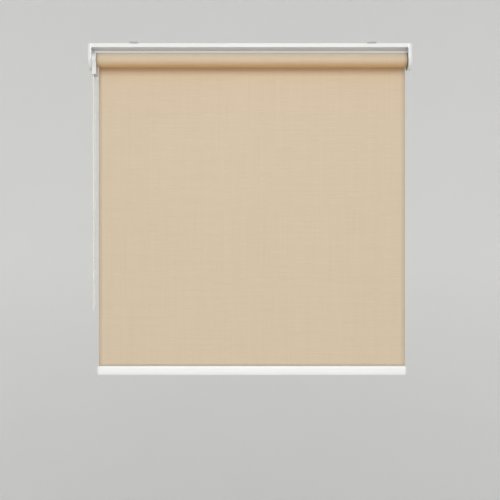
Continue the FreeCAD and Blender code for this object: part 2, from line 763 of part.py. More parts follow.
# ---------------------------------------------------------------- hanging fabric and bottom bar
def fabric_drop():
    """The hanging length of fabric, from the back of the roll to the bottom bar."""
    half = "sheet_thickness / 2"
    sheet_box = box(
        "fabric_drop",
        ("roll_left", "roll_right"),
        ("sheet_y - " + half, "sheet_y + " + half),
        (AXIS + " - sheet_drop", AXIS),
    )
    parts.append(sheet_box)


def bottom_bar():
    """A hollow oval extrusion with a slot along its top edge for the fabric."""
    body = new_body("bottom_bar", at=("sheet_y", BAR_CENTRE))
    outline = section(body, "Outline", "bar_left")
    oval(outline, "outer", "0")
    oval(outline, "inner", "bar_wall")
    pad(body, outline, "bar_right - bar_left")
    slot = ("-bar_slot_half", "bar_slot_half", "bar_half_height - 2 * bar_wall", "bar_half_height + 1")
    cut_block(body, "Slot", slot, "bar_left", "bar_right")
    parts.append(body)


def hem_spline():
    """The rod in the fabric's hem, with the hem's two layers standing up through the bar's slot."""
    body = new_body("hem_spline", at=("sheet_y", BAR_CENTRE))
    centre = "(bar_half_height - bar_wall - hem_rod_radius - hem_rod_gap)"
    rod_sketch = section(body, "Rod", "bar_left")
    circle(rod_sketch, "rod", "hem_rod_radius", centre)
    pad(body, rod_sketch, "bar_right - bar_left")
    hem = ("-sheet_thickness", "sheet_thickness", centre, "bar_half_height + 0.2")
    add_block(body, "Hem", hem, "bar_left", "bar_right")
    parts.append(body)


def bar_cap(label, face_start, plug_start):
    """A moulded end cap: an oval face and a plug that fills the bar's end below the hem rod."""
    body = new_body(label, at=("sheet_y", BAR_CENTRE))
    face = section(body, "Face", face_start)
    oval(face, "face", "0")
    pad(body, face, "cap_wall")
    plug_half = "(bar_half_depth - bar_wall - 7 * cap_plug_gap)"
    top = "(bar_half_height - bar_wall - 2 * hem_rod_radius - 4 * cap_plug_gap)"
    plug = ("-" + plug_half, plug_half, "-bar_half_height / 2", top)
    add_block(body, "Plug", plug, plug_start, "(%s + cap_plug_length)" % plug_start)
    parts.append(body)


# ---------------------------------------------------------------- bead chain
def chain_loop():
    """Numbers of the closed loop: a belt line round the wheel and round the free bend below it."""
    top, bottom = value(PITCH_RADIUS), value("loop_radius")
    total = value("chain_beads * bead_pitch")
    drop = (total - math.pi * (top + bottom)) / 2
    for _ in range(20):
        lean = math.asin((top - bottom) / drop)
        arcs = (math.pi + 2 * lean) * top + (math.pi - 2 * lean) * bottom
        drop = (total - arcs) / 2 / math.cos(lean)
    return top, bottom, drop, lean, total


def loop_point(distance):
    """The point (y, z) at a distance along the loop from its top, going down the rear side."""
    top, bottom, drop, lean, total = chain_loop()
    axis = value(AXIS)
    side = 1
    if distance > total / 2:
        distance = total - distance
        side = -1
    top_arc = (math.pi / 2 + lean) * top
    run = drop * math.cos(lean)
    if distance <= top_arc:
        turn = distance / top
        return side * top * math.sin(turn), axis + top * math.cos(turn)
    leave_y, leave_z = top * math.cos(lean), -top * math.sin(lean)
    if distance <= top_arc + run:
        down = distance - top_arc
        return side * (leave_y - down * math.sin(lean)), axis + leave_z - down * math.cos(lean)
    turn = math.pi / 2 + lean + (distance - top_arc - run) / bottom
    return side * bottom * math.sin(turn), axis - drop + bottom * math.cos(turn)


def chain_string():
    """The string through the beads: an arc on the wheel, two straight runs and the free bend."""
    top, bottom, drop, lean, total = chain_loop()
    axis, x = value(AXIS), value("chain_x")

    def point(y, z):
        return Vector(x, y, z)

    leave = (top * math.cos(lean), axis - top * math.sin(lean))
    land = (bottom * math.cos(lean), axis - drop - bottom * math.sin(lean))
    edges = [
        Part.Arc(point(-leave[0], leave[1]), point(0, axis + top), point(*leave)).toShape(),
        Part.LineSegment(point(*leave), point(*land)).toShape(),
        Part.Arc(point(*land), point(0, axis - drop - bottom), point(-land[0], land[1])).toShape(),
        Part.LineSegment(point(-land[0], land[1]), point(-leave[0], leave[1])).toShape(),
    ]
    radius = value("string_radius")
    solids = []
    for edge in edges:
        start = edge.valueAt(edge.FirstParameter)
        profile = Part.Wire(Part.makeCircle(radius, start, edge.tangentAt(edge.FirstParameter)))
        solids.append(Part.Wire(edge).makePipeShell([profile], True, True))
    joined = solids[0].multiFuse(solids[1:])
    expected = math.pi * radius ** 2 * total
    print("chain string: length %.1f, bends %.2f and %.2f" % (total, top, bottom))
    print("chain string: volume %.1f, section times length %.1f" % (joined.Volume, expected))
    parts.append(feature_of("chain_string", joined.removeSplitter()))


def chain_beads():
    """Every bead of the loop, one pitch apart, the first at the top of the wheel."""
    count = int(value("chain_beads"))
    places = [loop_point(i * value("bead_pitch")) for i in range(count)]
    balls = [Part.makeSphere(value("bead_radius"), Vector(value("chain_x"), y, z)) for y, z in places]
    parts.append(feature_of("chain_beads", Part.makeCompound(balls)))


# ---------------------------------------------------------------- the whole blind
head_rail()
for name, sign in (("left", "-"), ("right", "")):
    middle = "(%sclip_spacing / 2)" % sign
    ceiling_clip(name, middle)
    clip_latch(name, middle)
    clip_springs(name, middle)

tail_room = "(spindle_tail_half + tail_clearance)"
tail_sides = ("-" + tail_room, tail_room)
tail_heights = ("%s - %s" % (AXIS, tail_room), "%s + %s" % (AXIS, tail_room))
square_hole = box("TailHole", (PLATE_LEFT, INSIDE_LEFT), tail_sides, tail_heights)
bush_hole = rod("BushHole", "bush_outer_radius + running_gap", (INSIDE_RIGHT, "0", AXIS), "plate_wall", "x")
bracket(
    "left",
    (PLATE_LEFT, INSIDE_LEFT),
    (INSIDE_LEFT, INSIDE_LEFT + " + tongue_length"),
    INSIDE_LEFT + " + tongue_screw_inset",
    square_hole,
)
bracket(
    "right",
    (INSIDE_RIGHT, PLATE_RIGHT),
    (INSIDE_RIGHT + " - tongue_length", INSIDE_RIGHT),
    INSIDE_RIGHT + " - tongue_screw_inset",
    bush_hole,
)
bracket_cover("left_bracket_cover", "left_end", "cover_left_depth", "(left_end + cover_wall)", "left_end")
bracket_cover("right_bracket_cover", PLATE_RIGHT, "cover_right_depth", PLATE_RIGHT, "right_end")
bracket_screws()
chain_guard()
drive_spindle()
spindle_screw()
sprocket()
drive_core()
wrap_springs()
roller_tube()
fabric_spline()
fabric_roll()
idle_plug()
idle_pin()
idle_spring()
spring_seat()
idle_bush()
fabric_drop()
bottom_bar()
hem_spline()
bar_cap("left_bar_cap", "bar_left - cap_wall", "bar_left")
bar_cap("right_bar_cap", "bar_right", "(bar_right - cap_plug_length)")
chain_string()
chain_beads()
doc.recompute()

failed = [o.Label for o in doc.Objects if {"Invalid", "Error"} & set(o.State)]
failed += [p.Label for p in parts if p.Shape.isNull() or not p.Shape.isValid()]
if failed:
    raise RuntimeError("failed: " + ", ".join(failed))

os.makedirs("parts", exist_ok=True)
for part in parts:
    part.Shape.exportStep("parts/%s.step" % part.Label)
    print("%-20s %9.1f mm3" % (part.Label, part.Shape.Volume))
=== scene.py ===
"""The looks of a white, chain-worked roller blind with a linen-look cloth, most of the way down.

Metres, +Z up, seen from -Y. The CAD frame gives every rigid piece. This script adds the camera,
the chain, the cloth, the materials, the floor and the light.
"""
import math

import bpy
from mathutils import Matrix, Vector


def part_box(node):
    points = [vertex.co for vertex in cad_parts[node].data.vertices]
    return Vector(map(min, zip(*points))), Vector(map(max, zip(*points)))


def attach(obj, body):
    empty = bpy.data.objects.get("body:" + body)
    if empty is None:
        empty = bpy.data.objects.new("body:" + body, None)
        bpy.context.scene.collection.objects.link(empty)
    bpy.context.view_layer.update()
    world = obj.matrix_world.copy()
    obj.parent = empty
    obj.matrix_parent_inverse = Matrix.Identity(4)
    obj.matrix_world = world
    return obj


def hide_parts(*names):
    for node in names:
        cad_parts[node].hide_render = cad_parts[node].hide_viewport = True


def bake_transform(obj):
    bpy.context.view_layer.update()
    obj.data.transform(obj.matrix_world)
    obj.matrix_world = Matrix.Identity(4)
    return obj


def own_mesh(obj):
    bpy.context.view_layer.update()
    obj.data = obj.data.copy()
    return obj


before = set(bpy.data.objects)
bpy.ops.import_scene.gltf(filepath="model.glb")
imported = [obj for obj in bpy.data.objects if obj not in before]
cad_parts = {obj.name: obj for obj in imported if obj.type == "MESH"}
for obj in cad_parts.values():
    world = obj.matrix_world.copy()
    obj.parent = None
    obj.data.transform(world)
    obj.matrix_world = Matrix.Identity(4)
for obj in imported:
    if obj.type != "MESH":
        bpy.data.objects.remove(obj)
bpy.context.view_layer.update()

# ---------------------------------------------------------------- places taken from the frame
TUBE_LOW, TUBE_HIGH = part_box("roller_tube")
ROLL_LOW, ROLL_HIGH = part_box("fabric_roll")
DROP_LOW, DROP_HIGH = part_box("fabric_drop")
BAR_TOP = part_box("bottom_bar")[1].z
BEADS_LOW, BEADS_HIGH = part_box("chain_beads")

AXIS_Z = (TUBE_LOW.z + TUBE_HIGH.z) / 2
CLOTH = DROP_HIGH.y - DROP_LOW.y
DROP_Y = (DROP_HIGH.y + DROP_LOW.y) / 2
CHAIN_X = (BEADS_LOW.x + BEADS_HIGH.x) / 2


def add_object(name, data):
    """A new object in the scene, at the origin."""
    made = bpy.data.objects.new(name, data)
    bpy.context.scene.collection.objects.link(made)
    return made


def add_mesh(name, points, faces):
    """A smooth-shaded mesh object."""
    mesh = bpy.data.meshes.new(name)
    mesh.from_pydata(points, [], faces)
    mesh.shade_smooth()
    mesh.update()
    return add_object(name, mesh)


# ---------------------------------------------------------------- camera
FOCAL_LENGTH_MM = 59.616
SENSOR_MM = 36.0
LENS_SHIFT = -0.02
CAMERA_PLACE = (-0.0075, -2.0666, -0.4905)


def add_camera():
    """Level, straight on, a little under the middle of the cloth."""
    lens = bpy.data.cameras.new("camera")
    lens.lens = FOCAL_LENGTH_MM
    lens.sensor_width = SENSOR_MM
    lens.shift_y = LENS_SHIFT
    camera = add_object("camera", lens)
    camera.location = CAMERA_PLACE
    camera.rotation_euler = (math.radians(90), 0, 0)
    bpy.context.scene.camera = camera


# ---------------------------------------------------------------- the operating chain
STRING_DIAMETER = 0.0018
BEAD_RADIUS = 0.00225
BEAD_COUNT = 216
BEAD_SIDES = 20
BALL_RINGS = 9
BALL_ANGLE = math.radians(56)  # how far the ball goes from its middle before the neck starts
PARTING_RIDGE = 0.00005
# One of a bead's two necks, (distance from the ball's middle, radius), from the ball outwards.
NECK = [(0.00216, 0.00124), (0.00244, 0.00116), (0.00246, 0.00092)]
# The loop in the chain's plane, (y, height over the roll's axis): from the top of the wheel down the
# rear run, round the free bend, and up the front run.
CHAIN_ROUTE = [
    (0.0, 0.01254),
    (0.00519, 0.01254),
    (0.01254, 0.00519),
    (0.01250, -0.00530),
    (0.00802, -0.61244),
    (0.00800, -0.61906),
    (0.00331, -0.62375),
    (-0.00331, -0.62375),
    (-0.00800, -0.61906),
    (-0.00802, -0.61244),
    (-0.01250, -0.00530),
    (-0.01254, 0.00519),
    (-0.00519, 0.01254),
    (0.0, 0.01254),
]


def route_curve(name):
    """The loop as one open NURBS spline that starts and ends at the top of the wheel."""
    curve = bpy.data.curves.new(name, "CURVE")
    curve.dimensions = "3D"
    curve.resolution_u = 24
    spline = curve.splines.new("NURBS")
    spline.points.add(len(CHAIN_ROUTE) - 1)
    for point, (y, height) in zip(spline.points, CHAIN_ROUTE):
        point.co = (CHAIN_X, y, AXIS_Z + height, 1.0)
        point.radius = STRING_DIAMETER / 2
    spline.order_u = 3
    spline.use_endpoint_u = True
    return curve


def bead_places():
    """(place, direction) of each bead, one even step apart along the loop."""
    bare = bpy.data.objects.new("bare_route", route_curve("bare_route"))
    mesh = bpy.data.meshes.new_from_object(bare)
    line = [vertex.co.copy() for vertex in mesh.vertices]
    bpy.data.meshes.remove(mesh)
    bpy.data.curves.remove(bare.data)
    lengths = [(b - a).length for a, b in zip(line, line[1:])]
    step = sum(lengths) / BEAD_COUNT
    places = []
    travelled, wanted = 0.0, 0.0
    for start, end, length in zip(line, line[1:], lengths):
        while wanted <= travelled + length and len(places) < BEAD_COUNT:
            place = start.lerp(end, (wanted - travelled) / length)
            places.append((place, (end - start).normalized()))
            wanted += step
        travelled += length
    return places


def bead_profile():
    """(distance along the string, radius) of a moulded ball with small necks and a parting ridge."""
    profile = [(-along, radius) for along, radius in reversed(NECK)]
    for i in range(BALL_RINGS):
        turn = BALL_ANGLE * (2 * i / (BALL_RINGS - 1) - 1)
        ridge = PARTING_RIDGE if i == BALL_RINGS // 2 else 0.0
        profile.append((BEAD_RADIUS * math.sin(turn), BEAD_RADIUS * math.cos(turn) + ridge))
    return profile + NECK


def add_beads():
    """Every ball of the chain in one mesh."""
    profile, sides = bead_profile(), BEAD_SIDES
    points, faces = [], []
    across = Vector((1, 0, 0))
    for place, direction in bead_places():
        first = len(points)
        other = direction.cross(across)
        for along, radius in profile:
            for j in range(sides):
                turn = 2 * math.pi * j / sides
                out = across * math.cos(turn) + other * math.sin(turn)
                points.append(place + direction * along + out * radius)
        for i in range(len(profile) - 1):
            for j in range(sides):
                a, b = first + i * sides + j, first + i * sides + (j + 1) % sides
                faces.append((a, b, b + sides, a + sides))
        faces.append([first + j for j in reversed(range(sides))])
        faces.append([first + (len(profile) - 1) * sides + j for j in range(sides)])
    beads = add_mesh("chain_balls", points, faces)
    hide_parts("chain_beads")
    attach(beads, "frame")
    return beads


def add_chain():
    """The string and its beads."""
    curve = route_curve("chain_cord")
    curve.bevel_depth = 1.0  # times each point's own radius
    curve.bevel_resolution = 3
    cord = add_object("chain_cord", curve)
    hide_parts("chain_string")
    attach(cord, "frame")
    beads = add_beads()
    return cord, beads


# ---------------------------------------------------------------- coil springs
COIL_STEPS = 28
COIL_SIDES = 10
CLOSED_PITCH = 2.1  # in wire radii
IDLE_WIRE, IDLE_PITCH = 0.0005, 0.0032
CLIP_WIRE, CLIP_PITCH = 0.00015, 0.0012


def wind_coil(points, faces, start, along, radius, wire, pitch, length):
    """Adds a compression spring from start, its first and last turns closed, to points and faces.

    radius is the coil's own, to the middle of the wire, and wire is the radius of the wire.
    """
    closed = CLOSED_PITCH * wire
    turns = 2 + (length - 2 * closed) / pitch
    steps = round(turns * COIL_STEPS)
    side = along.orthogonal().normalized()
    other = along.cross(side)
    first = len(points)
    for i in range(steps + 1):
        turn = turns * i / steps
        ends = min(turn, 1) + max(turn - turns + 1, 0)
        rise = closed * ends + pitch * min(max(turn - 1, 0), turns - 2)
        angle = 2 * math.pi * turn
        out = side * math.cos(angle) + other * math.sin(angle)
        middle = start + along * rise + out * radius
        for j in range(COIL_SIDES):
            around = 2 * math.pi * j / COIL_SIDES
            points.append(middle + (out * math.cos(around) + along * math.sin(around)) * wire)
    for i in range(steps):
        for j in range(COIL_SIDES):
            a, b = first + i * COIL_SIDES + j, first + i * COIL_SIDES + (j + 1) % COIL_SIDES
            faces.append((a, b, b + COIL_SIDES, a + COIL_SIDES))
    last = first + steps * COIL_SIDES
    faces.append([first + j for j in reversed(range(COIL_SIDES))])
    faces.append([last + j for j in range(COIL_SIDES)])


def add_idle_spring():
    """The spring behind the idle pin, which the pin shortens towards the spring's seat; here a fixed coil
    that turns with the roller.
    """
    low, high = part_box("idle_spring")
    radius = (high.z - low.z) / 2 - IDLE_WIRE
    length = high.x - low.x - 2 * IDLE_WIRE
    start = Vector((low.x + IDLE_WIRE, 0, AXIS_Z))
    points, faces = [], []
    wind_coil(points, faces, start, Vector((1, 0, 0)), radius, IDLE_WIRE, IDLE_PITCH, length)
    spring = add_mesh("idle_coil", points, faces)
    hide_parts("idle_spring")
    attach(spring, "roller")
    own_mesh(spring)
    return spring


def add_clip_springs(side):
    """The two small springs behind a ceiling clip's latch, which the latch shortens; here fixed coils on the
    frame.
    """
    node = side + "_clip_springs"
    low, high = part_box(node)
    half = (high.z - low.z) / 2
    middle = (high.z + low.z) / 2
    length = high.y - low.y - 2 * CLIP_WIRE
    points, faces = [], []
    for x in (low.x + half, high.x - half):
        start = Vector((x, low.y + CLIP_WIRE, middle))
        wind_coil(points, faces, start, Vector((0, 1, 0)), half - CLIP_WIRE, CLIP_WIRE, CLIP_PITCH, length)
    springs = add_mesh(side + "_clip_coils", points, faces)
    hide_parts(node)
    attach(springs, "frame")
    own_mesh(springs)
    return springs


# ---------------------------------------------------------------- the cloth
ROLL_TURNS = 1.3
SNUG = 0.00095
LAYER_STEP = 1.1 * CLOTH
HEM_GAP = 0.0001
TURN_STEPS = 72
DROP_STEPS = 120
COLUMNS = 64
ROLL_COLUMNS = 4
WAVE = 0.0002
# The ripple's waves: radians per metre across, radians down the whole drop, phase and height.
RIPPLE = [(7.1, 2.3, 0.6, 1.0), (15.7, -3.9, 0.0, 0.6)]


def strip(name, line, left, right, columns, wave=0.0):
    """A cloth of real thickness: a line of (y, z, normal y, normal z, wound length) swept from left to right.

    The wound length, kept in the attribute "wind", is what the line's own length has over its height,
    so that height + wind runs evenly along the cloth.
    """
    points, winds = [], []
    for column in range(columns + 1):
        x = left + (right - left) * column / columns
        for side in (1, -1):
            for y, z, out_y, out_z, wound in line:
                reach = side * CLOTH / 2
                sway = wave * ripple(x, z)
                points.append((x, y + out_y * reach + sway, z + out_z * reach))
                winds.append(wound - z)
    count = len(line)
    faces = []
    for column in range(columns):
        here, there = 2 * count * column, 2 * count * (column + 1)
        for i in range(count - 1):
            faces.append((here + i, here + i + 1, there + i + 1, there + i))
            back, far = here + count, there + count
            faces.append((back + i, far + i, far + i + 1, back + i + 1))
        faces.append((here, there, there + count, here + count))
        faces.append((here + count - 1, here + 2 * count - 1, there + 2 * count - 1, there + count - 1))
    last = 2 * count * columns
    for i in range(count - 1):
        faces.append((i, i + count, i + count + 1, i + 1))
        faces.append((last + i, last + i + 1, last + i + count + 1, last + i + count))
    cloth = add_mesh(name, points, faces)
    cloth.data.attributes.new("wind", "FLOAT", "POINT").data.foreach_set("value", winds)
    return cloth


def ripple(x, z):
    """The hanging cloth's faint unevenness, from -1 to 1, and none at the roll and at the bar."""
    down = (DROP_HIGH.z - z) / (DROP_HIGH.z - DROP_LOW.z)
    if not 0 < down < 1:
        return 0.0
    total = sum(height * math.sin(a * x + b * down + phase) for a, b, phase, height in RIPPLE)
    highest = sum(wave[3] for wave in RIPPLE)
    return total / highest * math.sin(math.pi * down) ** 2


def wound_line(radius_at, turns, wound):
    """Cloth on the roll, from where it leaves at the back, over the top, down the front and under."""
    line = []
    steps = round(TURN_STEPS * turns)
    step = 2 * math.pi * turns / steps
    for i in range(steps + 1):
        turn = step * i
        at = radius_at(turn)
        away = (math.cos(turn), math.sin(turn))
        line.append((at * away[0], AXIS_Z + at * away[1], away[0], away[1], wound))
        wound += at * step
    return line


def last_turn(turn):
    """The radius of the turn that goes over into the drop: it draws in by SNUG in its first half."""
    return DROP_Y - SNUG * (0.5 - 0.5 * math.cos(min(turn, math.pi)))


def inner_turns(turn):
    """The radius of the spiral inside the last turn."""
    return DROP_Y - SNUG - LAYER_STEP - CLOTH * turn / (2 * math.pi)


def add_drop():
    """The hanging cloth and its last turn round the roll, which holds still while the roll turns in it."""
    foot = BAR_TOP + HEM_GAP
    line = []
    for i in range(DROP_STEPS):
        z = foot + (AXIS_Z - foot) * i / DROP_STEPS
        line.append((DROP_Y, z, 1.0, 0.0, z))
    around = wound_line(last_turn, 1.0, AXIS_Z)
    line += around
    cloth = strip("cloth_drop", line, DROP_LOW.x, DROP_HIGH.x, COLUMNS, WAVE)
    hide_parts("fabric_drop")
    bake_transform(cloth)
    return cloth, around[-1][4] - foot


def add_roll():
    """The inner turns, wound on the tube and turning with it."""
    line = wound_line(inner_turns, ROLL_TURNS, 0.0)
    cloth = strip("cloth_roll", line, ROLL_LOW.x, ROLL_HIGH.x, ROLL_COLUMNS)
    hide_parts("fabric_roll")
    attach(cloth, "roller")
    return cloth, line[-1][4]


def add_cloth():
    """One cloth in two sheets: what hangs with the last turn, and what stays wound."""
    drop, off_roll = add_drop()
    roll, on_roll = add_roll()
    return drop, roll


# ---------------------------------------------------------------- materials
class Finish:
    """One procedural material, built node by node in object coordinates (metres)."""

    def __init__(self, name, roughness=0.4, metallic=0.0):
        self.material = bpy.data.materials.new("finish_" + name)
        self.material.use_nodes = True
        self.tree = self.material.node_tree
        self.shader = self.tree.nodes["Principled BSDF"]
        self.output = self.tree.nodes["Material Output"]
        self.shader.inputs["Roughness"].default_value = roughness
        self.shader.inputs["Metallic"].default_value = metallic
        self.place = self.add("TexCoord", {}).outputs["Object"]

    def add(self, kind, inputs, **settings):
        """A node with its settings, and its inputs joined or set."""
        node = self.tree.nodes.new("ShaderNode" + kind)
        for name, value in settings.items():
            setattr(node, name, value)
        for name, value in inputs.items():
            if isinstance(value, bpy.types.NodeSocket):
                self.tree.links.new(value, node.inputs[name])
            else:
                node.inputs[name].default_value = value
        return node

    def sum(self, operation, first, second=0.0, third=0.0):
        """A Math node's result."""
        inputs = {0: first, 1: second, 2: third}
        return self.add("Math", inputs, operation=operation).outputs[0]

    def noise(self, stretch, detail=2.0, place=None):
        """Noise from 0 to 1, with that many lumps to the metre along x, y and z."""
        if not isinstance(stretch, tuple):
            stretch = (stretch, stretch, stretch)
        where = self.place if place is None else place
        scaled = self.add("Mapping", {"Vector": where, "Scale": stretch}).outputs[0]
        inputs = {"Vector": scaled, "Scale": 1.0, "Detail": detail}
        return self.add("TexNoise", inputs).outputs[0]

    def ramp(self, factor, low, high, to_low=0.0, to_high=1.0):
        """factor, which runs from low to high, spread over to_low to to_high."""
        inputs = {0: factor, 1: low, 2: high, 3: to_low, 4: to_high}
        return self.add("MapRange", inputs).outputs[0]

    def mix(self, factor, first, second, blend="MIX"):
        """Two colours mixed."""
        node = self.add("Mix", {}, data_type="RGBA", blend_type=blend)
        for number, value in ((0, factor), (6, first), (7, second)):
            if isinstance(value, bpy.types.NodeSocket):
                self.tree.links.new(value, node.inputs[number])
            elif number:
                node.inputs[number].default_value = (*value, 1.0)
            else:
                node.inputs[number].default_value = value
        return node.outputs[2]

    def join(self, socket, name):
        self.tree.links.new(socket, self.shader.inputs[name])

    def bump(self, *layers):
        """Layers of (height from 0 to 1, depth in metres), one over the other."""
        normal = None
        for height, depth in layers:
            inputs = {"Height": height, "Distance": depth, "Strength": 1.0}
            if normal is not None:
                inputs["Normal"] = normal
            normal = self.add("Bump", inputs).outputs[0]
        self.join(normal, "Normal")
        return normal


def shaded(colour, share):
    """The colour made lighter or darker."""
    return tuple(min(1.0, part * share) for part in colour)


def powder_coat(name, colour, roughness=0.36):
    """Satin powder coat: soft orange peel with a finer grain in it."""
    finish = Finish(name)
    cloudy = finish.ramp(finish.noise(7.0, 3.0), 0.3, 0.7)
    grain = finish.noise(2600.0, 2.0)
    finish.join(finish.mix(cloudy, shaded(colour, 0.985), shaded(colour, 1.01)), "Base Color")
    finish.join(finish.ramp(grain, 0.3, 0.7, roughness - 0.04, roughness + 0.05), "Roughness")
    finish.bump((finish.noise(380.0, 1.5), 0.00003), (grain, 0.000004))
    return finish.material


def moulding(name, colour, roughness=0.42, glow=0.0):
    """Moulded plastic: fine spark-eroded grain, faint flow marks, a little light carried inside."""
    finish = Finish(name)
    flow = finish.ramp(finish.noise((22.0, 60.0, 45.0), 3.0), 0.35, 0.65)
    grain = finish.noise(3400.0, 3.0)
    finish.join(finish.mix(flow, shaded(colour, 0.97), shaded(colour, 1.015)), "Base Color")
    finish.join(finish.ramp(grain, 0.3, 0.7, roughness - 0.06, roughness + 0.07), "Roughness")
    finish.bump((finish.noise(260.0, 1.0), 0.00001), (grain, 0.000006))
    finish.shader.inputs["Subsurface Weight"].default_value = glow
    finish.shader.inputs["Subsurface Radius"].default_value = (0.002, 0.0018, 0.0015)
    return finish.material


def zinc_plate(name, colour, roughness=0.32):
    """Bright zinc plate on sheet steel: pale bloom, and fine rolling lines along x."""
    finish = Finish(name, metallic=1.0)
    bloom = finish.ramp(finish.noise(140.0, 4.0), 0.35, 0.7)
    lines = finish.noise((60.0, 5200.0, 5200.0), 2.0)
    finish.join(finish.mix(bloom, shaded(colour, 0.9), shaded(colour, 1.12)), "Base Color")
    rough = finish.sum("MULTIPLY_ADD", lines, 0.12, finish.ramp(bloom, 0.0, 1.0, roughness - 0.08, roughness))
    finish.join(rough, "Roughness")
    finish.bump((lines, 0.000003), (bloom, 0.000004))
    return finish.material


def spring_wire(name, colour):
    """Drawn wire: dark oil-hardened steel with brighter rub marks."""
    finish = Finish(name, metallic=1.0)
    rubs = finish.ramp(finish.noise(900.0, 3.0), 0.45, 0.7)
    finish.join(finish.mix(rubs, shaded(colour, 0.75), shaded(colour, 1.3)), "Base Color")
    finish.join(finish.ramp(rubs, 0.0, 1.0, 0.42, 0.24), "Roughness")
    finish.bump((finish.noise(4000.0, 2.0), 0.000003))
    return finish.material


def mill_aluminium(name, colour):
    """Extruded aluminium as it leaves the die: streaks the whole length along x."""
    finish = Finish(name, metallic=1.0)
    streaks = finish.noise((1.5, 1100.0, 1100.0), 4.0)
    finish.join(finish.mix(streaks, shaded(colour, 0.9), shaded(colour, 1.08)), "Base Color")
    finish.join(finish.ramp(streaks, 0.3, 0.7, 0.28, 0.4), "Roughness")
    finish.bump((streaks, 0.000006))
    return finish.material


def filled_nylon(name, colour):
    """Glass-filled nylon: matt, with short pale fibres near the surface."""
    finish = Finish(name)
    fibres = finish.ramp(finish.noise((700.0, 2600.0, 2600.0), 3.0), 0.58, 0.72)
    finish.join(finish.mix(fibres, colour, shaded(colour, 1.35)), "Base Color")
    finish.join(finish.ramp(fibres, 0.0, 1.0, 0.5, 0.62), "Roughness")
    finish.bump((finish.noise(1800.0, 3.0), 0.000012))
    return finish.material


def braided_string(name, colour):
    """Braided polyester: small crossing strands."""
    finish = Finish(name, roughness=0.7)
    split = finish.add("SeparateXYZ", {"Vector": finish.place})
    height = finish.sum("MULTIPLY", split.outputs["Z"], 7000.0)
    across = finish.sum("MULTIPLY", split.outputs["X"], 5000.0)
    rising = finish.sum("SINE", finish.sum("ADD", height, across))
    falling = finish.sum("SINE", finish.sum("SUBTRACT", height, across))
    strands = finish.ramp(finish.sum("MULTIPLY", rising, falling), -1.0, 1.0)
    finish.join(finish.mix(strands, shaded(colour, 0.8), shaded(colour, 1.08)), "Base Color")
    finish.bump((strands, 0.00008))
    return finish.material


WEFT = 0.00055
WARP = 0.00050
# Painted shade on the cloth: how far it looks for its own layers, the warm tint it multiplies in, and the
# heights over which it fades out below the roll.
PAINTED_SHADE_REACH = 0.05
PAINTED_SHADE_TINT = (1.0, 0.78, 0.5)
PAINTED_SHADE_HIGH, PAINTED_SHADE_LOW = AXIS_Z - 0.1, AXIS_Z - 0.15


